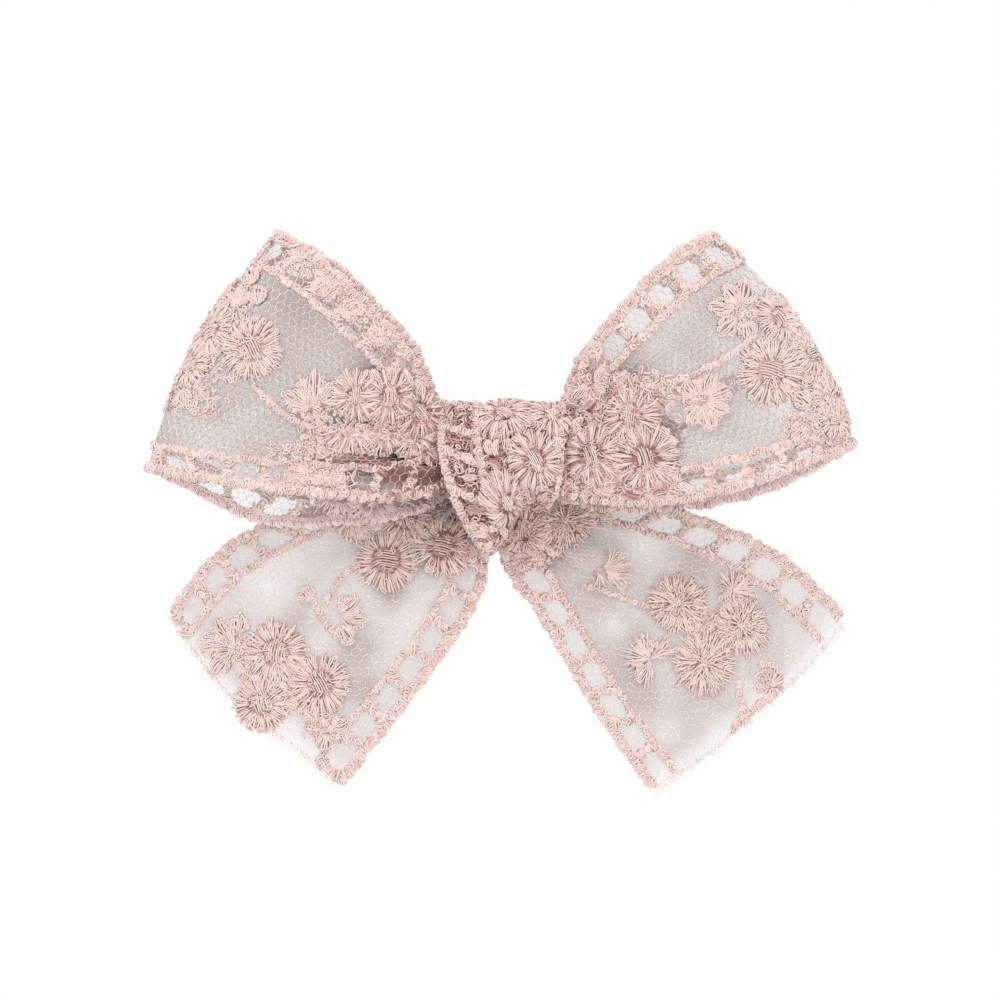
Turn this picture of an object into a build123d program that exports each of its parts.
"""Embroidered-net hair bow on a single-prong alligator clip.

Millimetres. The bow's face looks along -Y, +Y runs towards the head and +Z is up.
+X is to the right for someone facing the bow.
Origin: on the outer flat face of the toothed jaw, behind the middle of the knot.
"""
import math
import os

from build123d import *

os.makedirs("parts", exist_ok=True)

# ---------------------------------------------------------------- shared sizes
# Pairs ending in _X, _Y or _Z are (lowest, highest) along that axis, except where noted.
GAP = 0.02              # clearance between neighbouring solids

GATHER_HALF_X = 9.7     # half length of the pinched middle
GATHER_Y = (-14.9, -6.95)
GATHER_Z = (-5.6, 7.2)
GATHER_CORNER_R = 3.0
GATHER_DEPTH = GATHER_Y[1] - GATHER_Y[0]
GATHER_HEIGHT = GATHER_Z[1] - GATHER_Z[0]
GATHER_MID = (sum(GATHER_Y) / 2, sum(GATHER_Z) / 2)  # (y, z)
WAIST_WIDTH = 3.4       # groove round the pinched middle, along X
WAIST_INSET = 0.7
LAYER_Y = -9.38         # the middle's loop layer is in front of this plane, its tail layer behind

KNOT_X = (-9.3, 9.4)
KNOT_Y = (-16.5, -3.15)
KNOT_Z = (-7.5, 9.0)

CLIP_T = 0.6            # clip sheet
CLIP_HALF_W = 4.0
TIP_X = -27.0
TAB_X = 23.5            # end of the finger tabs
TAB_SLOPE = math.tan(math.radians(12.0))
JAW_Y = (-CLIP_T, 0.0)  # toothed jaw, inner and outer face
ARM_Y = (-5.5, -4.9)    # front arm, outer and inner face
LINING_T = 0.38
PIN_X = 13.0
PIN_Y = -2.8
PIN_R = 0.75


# ---------------------------------------------------------------- ribbon helpers
def slanted_plane(side, tilt):
    """Sketch plane with x outwards along a loop or tail and y back towards the head."""
    axis = Vector(side * math.cos(math.radians(tilt)), 0, math.sin(math.radians(tilt)))
    return Plane(origin=(0, 0, 0), x_dir=axis, z_dir=axis.cross(Vector(0, 1, 0)))


def outline_prism(points, y0, y1):
    """Front-view outline (x, z) pushed through the depth y0..y1."""
    with BuildPart() as prism:
        with BuildSketch(Plane.XZ.offset(-y1)):
            with BuildLine():
                Polyline(*points, close=True)
            make_face()
        extrude(amount=y1 - y0)
    return prism.part


def waist_point(half_y, half_z, turn):
    """Point on an ellipse squared off at power 3; turn is the fraction of a full circle."""
    angle = 2 * math.pi * turn
    cosine, sine = math.cos(angle), math.sin(angle)
    radius = (abs(cosine / half_y) ** 3 + abs(sine / half_z) ** 3) ** (-1 / 3)
    return (radius * cosine, radius * sine)


def waist_face(half_y, half_z):
    """Cross-section of the waist under the thread."""
    points = [waist_point(half_y, half_z, i / 40) for i in range(40)]
    with BuildSketch() as waist:
        with BuildLine():
            Spline(*points, periodic=True)
        make_face()
    return waist.sketch


def gather_block(y0, y1):
    """The pinched middle between two depths, with a waist where the thread bites."""
    with BuildPart() as block:
        with BuildSketch(Plane.YZ.offset(-GATHER_HALF_X)):
            with Locations(GATHER_MID):
                RectangleRounded(GATHER_DEPTH, GATHER_HEIGHT, GATHER_CORNER_R)
        extrude(amount=2 * GATHER_HALF_X)
        with BuildSketch(Plane.YZ.offset(-WAIST_WIDTH / 2)):
            with Locations(GATHER_MID):
                Rectangle(GATHER_DEPTH + 4, GATHER_HEIGHT + 4)
                add(
                    waist_face(GATHER_DEPTH / 2 - WAIST_INSET, GATHER_HEIGHT / 2 - WAIST_INSET),
                    mode=Mode.SUBTRACT,
                )
        extrude(amount=WAIST_WIDTH, mode=Mode.SUBTRACT)
        # keep only the layer y0..y1
        with BuildSketch(Plane.XY.offset(-20)):
            with Locations((0, (y0 + y1) / 2)):
                Rectangle(60, y1 - y0)
        extrude(amount=40, mode=Mode.INTERSECT)
    return block.part


# ---------------------------------------------------------------- loop ribbon
RIBBON_T = 0.9          # embroidered net, thread included
LOOP_TILT = 21.0        # degrees above the horizontal

# Loop band in its slanted plane: (distance outwards, y). Each list runs out along the
# front to the loop's far end, then back along the rear.
LOOP_OUTER = [
    (4.0, -14.6), (10.5, -14.7), (17.0, -17.6), (27.0, -19.0), (38.0, -17.6),
    (46.5, -14.2), (49.2, -11.9), (46.5, -9.9), (38.0, -8.5),
    (27.0, -8.3), (17.0, -9.0), (10.5, -9.6), (4.0, -9.6),
]
LOOP_OUTER_END = 6      # index of the far end
LOOP_INNER = [
    (11.5, -12.6), (17.0, -16.2), (27.0, -19.0 + RIBBON_T), (38.0, -17.6 + RIBBON_T),
    (45.7, -13.6), (49.2 - RIBBON_T, -11.9), (45.7, -10.5), (38.0, -8.5 - RIBBON_T),
    (27.0, -8.3 - RIBBON_T), (17.0, -10.2), (11.5, -11.4),
]
LOOP_INNER_END = 5

# Front-view outlines: (x, z)
LEFT_LOOP_OUTLINE = [
    (-9.5, -5.0), (-9.75, -5.4), (-12.0, -6.2), (-24.0, -7.6), (-36.7, -9.0), (-45.0, -6.2),
    (-52.8, -2.2), (-52.4, 0.0), (-50.2, 6.5), (-46.5, 14.5), (-41.0, 24.0), (-36.0, 31.5),
    (-33.0, 34.9), (-29.5, 33.6), (-21.5, 25.5), (-14.5, 17.6), (-9.75, 12.4), (-9.7, 7.0),
    (-9.5, 6.6),
]
RIGHT_LOOP_OUTLINE = [
    (9.5, -5.0), (9.75, -5.4), (15.0, -7.4), (30.0, -6.3), (38.3, -4.6), (48.0, -0.8),
    (52.8, 2.0), (52.8, 4.2), (50.3, 10.0), (46.8, 17.3), (41.3, 25.5), (36.0, 32.3),
    (31.3, 34.7), (24.6, 29.0), (17.5, 20.5), (12.8, 13.6), (9.75, 10.0), (9.7, 7.0),
    (9.5, 6.6),
]


def loop_solid(side, outline):
    """One open loop: a closed band, trimmed to the front outline."""
    with BuildPart() as band:
        with BuildSketch(slanted_plane(side, LOOP_TILT)):
            with BuildLine():
                Spline(*LOOP_OUTER[:LOOP_OUTER_END + 1])
                Spline(*LOOP_OUTER[LOOP_OUTER_END:])
                Line(LOOP_OUTER[-1], LOOP_OUTER[0])
            make_face()
            with BuildLine():
                Spline(*LOOP_INNER[:LOOP_INNER_END + 1])
                Spline(*LOOP_INNER[LOOP_INNER_END:])
                Line(LOOP_INNER[-1], LOOP_INNER[0])
            make_face(mode=Mode.SUBTRACT)
        extrude(amount=46, both=True)
        add(outline_prism(outline, -21, -5), mode=Mode.INTERSECT)
    return band.part


def make_loop_ribbon():
    with BuildPart() as ribbon:
        add(gather_block(GATHER_Y[0], LAYER_Y))
        add(loop_solid(-1, LEFT_LOOP_OUTLINE))
        add(loop_solid(1, RIGHT_LOOP_OUTLINE))
    return ribbon.part


# ---------------------------------------------------------------- tail ribbon
LEFT_TAIL_TILT = -45.0
RIGHT_TAIL_TILT = -44.0

# Tail sheet in its slanted plane: (distance outwards, y), front face then rear face
TAIL_FRONT = [
    (2.0, -9.2), (9.0, -9.0), (16.0, -7.7), (27.0, -7.5), (40.0, -6.4), (52.0, -5.0),
    (62.0, -4.8),
]
TAIL_BACK = [
    (62.0, -3.9), (52.0, -4.1), (40.0, -5.5), (27.0, -6.6), (16.0, -6.8), (9.0, -7.0),
    (2.0, -7.0),
]

# Front-view outlines: (x, z)
LEFT_TAIL_OUTLINE = [
    (-9.5, -5.0), (-9.75, -5.4), (-9.75, -7.9), (-3.4, -8.2), (-1.6, -12.0), (-7.2, -21.5),
    (-14.0, -33.0), (-24.0, -49.5), (-28.4, -46.9), (-38.0, -38.5), (-49.8, -26.2),
    (-51.2, -20.8), (-44.0, -14.8), (-36.0, -8.6), (-22.0, -3.2), (-9.75, 1.0), (-9.7, 3.5),
    (-9.5, 3.5),
]
RIGHT_TAIL_OUTLINE = [
    (9.5, -5.0), (9.75, -5.4), (9.75, -7.9), (3.0, -8.2), (0.2, -12.0), (6.8, -22.0),
    (14.5, -35.0), (23.3, -49.6), (30.0, -45.0), (42.0, -34.0), (52.9, -22.0), (48.0, -17.5),
    (40.0, -12.2), (30.0, -7.2), (20.0, -5.2), (11.5, -4.4), (9.75, 0.5), (9.7, 3.5),
    (9.5, 3.5),
]


def tail_solid(side, tilt, outline):
    """One hanging tail: a gently bent sheet, trimmed to the front outline."""
    with BuildPart() as sheet:
        with BuildSketch(slanted_plane(side, tilt)):
            with BuildLine():
                Spline(*TAIL_FRONT)
                Line(TAIL_FRONT[-1], TAIL_BACK[0])
                Spline(*TAIL_BACK)
                Line(TAIL_BACK[-1], TAIL_FRONT[0])
            make_face()
        extrude(amount=60, both=True)
        add(outline_prism(outline, -12, -2), mode=Mode.INTERSECT)
    return sheet.part


def make_tail_ribbon():
    with BuildPart() as ribbon:
        add(gather_block(LAYER_Y + GAP, GATHER_Y[1]))
        add(tail_solid(-1, LEFT_TAIL_TILT, LEFT_TAIL_OUTLINE))
        add(tail_solid(1, RIGHT_TAIL_TILT, RIGHT_TAIL_OUTLINE))
    return ribbon.part


# ---------------------------------------------------------------- knot wrap
KNOT_T = 1.3
KNOT_OUTER_R = 4.6
KNOT_INNER_R = 1.6
KNOT_RIM_R = 0.45
# (x, z) of the area cut off the left end, leaving an edge that slants down to the right
KNOT_LEFT_CUT = [(-12, 12), (KNOT_X[0], 12), (KNOT_X[0], 6.0), (-7.6, -9), (-12, -9)]


def make_knot_wrap():
    depth = KNOT_Y[1] - KNOT_Y[0]
    height = KNOT_Z[1] - KNOT_Z[0]
    with BuildPart() as wrap:
        with BuildSketch(Plane.YZ.offset(KNOT_X[0])):
            with Locations((sum(KNOT_Y) / 2, sum(KNOT_Z) / 2)):
                RectangleRounded(depth, height, KNOT_OUTER_R)
                RectangleRounded(
                    depth - 2 * KNOT_T, height - 2 * KNOT_T, KNOT_INNER_R, mode=Mode.SUBTRACT
                )
        extrude(amount=KNOT_X[1] - KNOT_X[0])
        with BuildSketch(Plane.XZ.offset(30)):
            with BuildLine():
                Polyline(*KNOT_LEFT_CUT, close=True)
            make_face()
        extrude(amount=-40, mode=Mode.SUBTRACT)
        # round the outer rim of the right end
        fillet(wrap.faces().sort_by(Axis.X)[-1].outer_wire().edges(), KNOT_RIM_R)
    return wrap.part


# ---------------------------------------------------------------- gathering thread
THREAD_R = 0.17
THREAD_CLEARANCE = 0.03
THREAD_SPAN = 2.7       # along X, first turn to last
THREAD_TURNS = 6
STEPS_PER_TURN = 16


def make_gathering_thread():
    """Thread wound round the waist of the pinched middle."""
    offset = THREAD_R + THREAD_CLEARANCE - WAIST_INSET
    half_y = GATHER_DEPTH / 2 + offset
    half_z = GATHER_HEIGHT / 2 + offset
    step_count = THREAD_TURNS * STEPS_PER_TURN
    points = []
    for i in range(step_count + 1):
        y, z = waist_point(half_y, half_z, i / STEPS_PER_TURN)
        x = -THREAD_SPAN / 2 + THREAD_SPAN * i / step_count
        points.append((x, GATHER_MID[0] + y, GATHER_MID[1] + z))
    with BuildPart() as thread:
        with BuildLine() as path:
            Spline(*points)
        with BuildSketch(Plane(origin=path.line @ 0, z_dir=path.line % 0)):
            Circle(THREAD_R)
        sweep(is_frenet=True)
    return thread.part


# ---------------------------------------------------------------- wrap stitches
STITCH_R = 0.15
STITCH_COUNT = 6
STITCH_PITCH = 1.6
STITCH_HALF_Z = 0.9


def make_wrap_stitches():
    """One continuous zigzag thread on the wrap's rear face, closing its overlap."""
    zigzag = []
    for i in range(STITCH_COUNT + 1):
        x = STITCH_PITCH * (i - STITCH_COUNT / 2)
        z = -STITCH_HALF_Z if i % 2 == 0 else STITCH_HALF_Z
        zigzag.append((x, KNOT_Y[1] + STITCH_R + GAP, z))
    with BuildPart() as stitches:
        with BuildLine() as path:
            Polyline(*zigzag)
        with BuildSketch(Plane(origin=path.line @ 0, z_dir=path.line % 0)):
            Circle(STITCH_R)
        sweep(transition=Transition.ROUND)
    return stitches.part


# ---------------------------------------------------------------- glue pad
PAD_LENGTH = 15.0
PAD_HEIGHT = 6.6
PAD_EDGE_R = 0.25


def make_glue_pad():
    """Pad filling the depth between the pinched middle and the clip lining."""
    front_y = GATHER_Y[1] + GAP
    back_y = ARM_Y[0] - LINING_T - 2 * GAP
    with BuildPart() as pad:
        with BuildSketch(Plane.XZ.offset(-front_y)):
            SlotOverall(PAD_LENGTH, PAD_HEIGHT)
        extrude(amount=-(back_y - front_y))
        fillet(pad.edges().filter_by(GeomType.CIRCLE), PAD_EDGE_R)
    return pad.part


# ---------------------------------------------------------------- clip lining
LINING_OVERHANG = 0.1   # past the arm's sides and tip
LINING_FOLD_X = TIP_X - 0.55
LINING_FRONT_END_X = 12.0
LINING_BACK_END_X = 9.8


def make_clip_lining():
    """Strip folded round the front arm's tip, covering both of its faces."""
    front_y = ARM_Y[0] - GAP
    back_y = ARM_Y[1] + GAP
    fold_start_x = TIP_X - LINING_OVERHANG
    half_width = CLIP_HALF_W + LINING_OVERHANG
    with BuildPart() as lining:
        with BuildSketch(Plane.XY.offset(-half_width)):
            with BuildLine():
                Polyline(
                    (LINING_FRONT_END_X, front_y),
                    (fold_start_x, front_y),
                    (fold_start_x, back_y),
                    (LINING_BACK_END_X, back_y),
                    (LINING_BACK_END_X, back_y + LINING_T),
                    (fold_start_x, back_y + LINING_T),
                )
                ThreePointArc(
                    (fold_start_x, back_y + LINING_T),
                    (LINING_FOLD_X, (back_y + front_y) / 2),
                    (fold_start_x, front_y - LINING_T),
                )
                Polyline(
                    (fold_start_x, front_y - LINING_T),
                    (LINING_FRONT_END_X, front_y - LINING_T),
                    (LINING_FRONT_END_X, front_y),
                )
            make_face()
        extrude(amount=2 * half_width)
    return lining.part


# ---------------------------------------------------------------- clip arm helpers
TAPER_X = -8            # the arms narrow from here to the tip
TIP_HALF_W = 2.9
TAB_CORNER_R = 2.2
GROOVE_R = 0.3
GROOVE_HALF_LENGTH = 2.6
GROOVE_OUTSET = 0.05    # groove axis outside the tab's face
EAR_R = 1.9
EAR_T = 0.6
EAR_GAP = 0.1           # between the two arms' ears
EAR_OVERLAP = 0.2       # how far an ear runs into its sheet


def arm_plan(y0, y1):
    """Front-view outline of an arm, pushed through the depth y0..y1."""
    with BuildPart() as plan:
        with BuildSketch(Plane.XZ.offset(-y1)):
            with BuildLine():
                Polyline(
                    (TIP_X, -TIP_HALF_W), (TAPER_X, -CLIP_HALF_W), (TAB_X, -CLIP_HALF_W),
                    (TAB_X, CLIP_HALF_W), (TAPER_X, CLIP_HALF_W), (TIP_X, TIP_HALF_W),
                    close=True,
                )
            make_face()
        extrude(amount=y1 - y0)
        ends = plan.edges().filter_by(Axis.Y)
        fillet(ends.group_by(Axis.X)[0], TIP_HALF_W * 0.9)
        fillet(plan.edges().filter_by(Axis.Y).group_by(Axis.X)[-1], TAB_CORNER_R)
    return plan.part


def draw_ear(sheet_y, inwards):
    """Draw an ear in the open sketch, from the pin to the sheet's inner face at sheet_y.

    inwards is -1 or 1: the direction along Y from that face into the sheet.
    """
    with Locations((PIN_X, PIN_Y)):
        Circle(EAR_R)
    with Locations((PIN_X, (PIN_Y + sheet_y) / 2 + inwards * EAR_OVERLAP / 2)):
        Rectangle(2 * EAR_R, abs(sheet_y - PIN_Y) + EAR_OVERLAP)


# ---------------------------------------------------------------- front arm
ARM_BEND_X = 14.5
ARM_GROOVES_X = (18.4, 20.0, 21.6)


def make_clip_upper_arm():
    tab_rise = (TAB_X - ARM_BEND_X) * TAB_SLOPE
    with BuildPart() as arm:
        with BuildSketch(Plane.XY.offset(-10)):
            with BuildLine():
                Polyline(
                    (TIP_X, ARM_Y[0]), (ARM_BEND_X, ARM_Y[0]),
                    (TAB_X, ARM_Y[0] - tab_rise), (TAB_X, ARM_Y[1] - tab_rise),
                    (ARM_BEND_X, ARM_Y[1]), (TIP_X, ARM_Y[1]), close=True,
                )
            make_face()
        extrude(amount=20)
        add(arm_plan(-12, 0), mode=Mode.INTERSECT)
        # grip grooves across the outer face of the finger tab
        for x in ARM_GROOVES_X:
            y = ARM_Y[0] - (x - ARM_BEND_X) * TAB_SLOPE
            with BuildSketch(Plane.XY.offset(-GROOVE_HALF_LENGTH)):
                with Locations((x, y - GROOVE_OUTSET)):
                    Circle(GROOVE_R)
            extrude(amount=2 * GROOVE_HALF_LENGTH, mode=Mode.SUBTRACT)
        # two pivot ears, outside those of the jaw
        for z in (-CLIP_HALF_W, CLIP_HALF_W - EAR_T):
            with BuildSketch(Plane.XY.offset(z)):
                draw_ear(ARM_Y[1], -1)
            extrude(amount=EAR_T)
        with BuildSketch(Plane.XY.offset(-6)):
            with Locations((PIN_X, PIN_Y)):
                Circle(PIN_R + 0.01)
        extrude(amount=12, mode=Mode.SUBTRACT)
    return arm.part


# ---------------------------------------------------------------- toothed jaw
JAW_BEND_X = 15.5
JAW_GROOVES_X = (18.8, 20.3, 21.8)
KINK_X = -12.0          # the nose slopes towards the front arm from here to the tip
NOSE_SLOPE = 0.172
TOOTH_COUNT = 7
TOOTH_PITCH = 1.45
TOOTH_HEIGHT = 1.32
TOOTH_PEAK = 0.45       # peak's place within the pitch
TOOTH_ROOT = 0.2        # how far the teeth run into the sheet
TEETH_START_X = TIP_X + 0.9
TOOTH_ROWS_Z = (-2.55, 2.0)
TOOTH_ROW_T = 0.55


def nose_inner_y(x):
    """Y of the sloping nose's inner face."""
    return JAW_Y[0] - (KINK_X - x) * NOSE_SLOPE


def tooth_row_outline():
    """Saw-tooth outline (x, y) on the nose's inner face."""
    points = []
    for i in range(TOOTH_COUNT):
        root_x = TEETH_START_X + i * TOOTH_PITCH
        peak_x = root_x + TOOTH_PITCH * TOOTH_PEAK
        points += [(root_x, nose_inner_y(root_x)), (peak_x, nose_inner_y(peak_x) - TOOTH_HEIGHT)]
    end_x = TEETH_START_X + TOOTH_COUNT * TOOTH_PITCH
    points.append((end_x, nose_inner_y(end_x)))
    points.append((end_x, nose_inner_y(end_x) + TOOTH_ROOT))
    points.append((TEETH_START_X, nose_inner_y(TEETH_START_X) + TOOTH_ROOT))
    return points


def make_clip_lower_arm():
    tab_rise = (TAB_X - JAW_BEND_X) * TAB_SLOPE
    nose_drop = (KINK_X - TIP_X) * NOSE_SLOPE
    with BuildPart() as jaw:
        with BuildSketch(Plane.XY.offset(-10)):
            with BuildLine():
                Polyline(
                    (TIP_X, JAW_Y[1] - nose_drop), (KINK_X, JAW_Y[1]), (JAW_BEND_X, JAW_Y[1]),
                    (TAB_X, JAW_Y[1] + tab_rise), (TAB_X, JAW_Y[0] + tab_rise),
                    (JAW_BEND_X, JAW_Y[0]), (KINK_X, JAW_Y[0]), (TIP_X, JAW_Y[0] - nose_drop),
                    close=True,
                )
            make_face()
        extrude(amount=20)
        add(arm_plan(-6, 4), mode=Mode.INTERSECT)
        # grip grooves across the outer face of the finger tab
        for x in JAW_GROOVES_X:
            y = JAW_Y[1] + (x - JAW_BEND_X) * TAB_SLOPE
            with BuildSketch(Plane.XY.offset(-GROOVE_HALF_LENGTH)):
                with Locations((x, y + GROOVE_OUTSET)):
                    Circle(GROOVE_R)
            extrude(amount=2 * GROOVE_HALF_LENGTH, mode=Mode.SUBTRACT)
        for z in TOOTH_ROWS_Z:
            with BuildSketch(Plane.XY.offset(z)):
                with BuildLine():
                    Polyline(*tooth_row_outline(), close=True)
                make_face()
            extrude(amount=TOOTH_ROW_T)
        # two pivot ears, inside those of the front arm
        for z in (-CLIP_HALF_W + EAR_T + EAR_GAP, CLIP_HALF_W - 2 * EAR_T - EAR_GAP):
            with BuildSketch(Plane.XY.offset(z)):
                draw_ear(JAW_Y[0], 1)
            extrude(amount=EAR_T)
        with BuildSketch(Plane.XY.offset(-6)):
            with Locations((PIN_X, PIN_Y)):
                Circle(PIN_R + 0.05)
        extrude(amount=12, mode=Mode.SUBTRACT)
    return jaw.part


# ---------------------------------------------------------------- pivot rivet
PIN_HEAD_R = 1.25
PIN_HEAD_T = 0.45
PIN_HEAD_EDGE_R = 0.25


def make_clip_pin():
    head_z = CLIP_HALF_W + GAP
    with BuildPart() as pin:
        with BuildSketch(Plane.XY.offset(-head_z)):
            with Locations((PIN_X, PIN_Y)):
                Circle(PIN_R)
        extrude(amount=2 * head_z)
        for direction in (1, -1):
            with BuildSketch(Plane.XY.offset(direction * head_z)):
                with Locations((PIN_X, PIN_Y)):
                    Circle(PIN_HEAD_R)
            extrude(amount=PIN_HEAD_T * direction)
        rims = pin.edges().filter_by(GeomType.CIRCLE).sort_by(Axis.Z)
        fillet([rims[0], rims[-1]], PIN_HEAD_EDGE_R)
    return pin.part


# ---------------------------------------------------------------- torsion spring
WIRE_R = 0.35
COIL_R = 1.35
COIL_PITCH = 0.86
COIL_HEIGHT = 4.5 * COIL_PITCH
LEG_START_X = PIN_X - 0.05
LEG_END_X = 20.6
JAW_LEG_END_Y = 0.02
ARM_LEG_END_Y = -5.72


def make_clip_spring():
    bottom_z, top_z = -COIL_HEIGHT / 2, COIL_HEIGHT / 2
    coil_base = Plane(origin=(PIN_X, PIN_Y, bottom_z), x_dir=(0, 1, 0), z_dir=(0, 0, 1))
    with BuildPart() as spring:
        with BuildLine(coil_base) as path:
            Helix(pitch=COIL_PITCH, height=COIL_HEIGHT, radius=COIL_R)
        with BuildSketch(Plane(origin=path.line @ 0, z_dir=path.line % 0)):
            Circle(WIRE_R)
        sweep(is_frenet=True)
        # two straight legs along the insides of the finger tabs: jaw, then front arm
        for start_y, end_y, z in (
            (PIN_Y + COIL_R, JAW_LEG_END_Y, bottom_z),
            (PIN_Y - COIL_R, ARM_LEG_END_Y, top_z),
        ):
            start = Vector(LEG_START_X, start_y, z)
            leg = Vector(LEG_END_X, end_y, z) - start
            with BuildSketch(Plane(origin=start, z_dir=leg)):
                Circle(WIRE_R)
            extrude(amount=leg.length)
    return spring.part


# ---------------------------------------------------------------- export
PIECES = {
    "loop_ribbon": make_loop_ribbon,
    "tail_ribbon": make_tail_ribbon,
    "knot_wrap": make_knot_wrap,
    "gathering_thread": make_gathering_thread,
    "wrap_stitches": make_wrap_stitches,
    "glue_pad": make_glue_pad,
    "clip_lining": make_clip_lining,
    "clip_upper_arm": make_clip_upper_arm,
    "clip_lower_arm": make_clip_lower_arm,
    "clip_pin": make_clip_pin,
    "clip_spring": make_clip_spring,
}
for name, make_piece in PIECES.items():
    piece = make_piece()
    piece.label = name
    export_step(piece, f"parts/{name}.step")
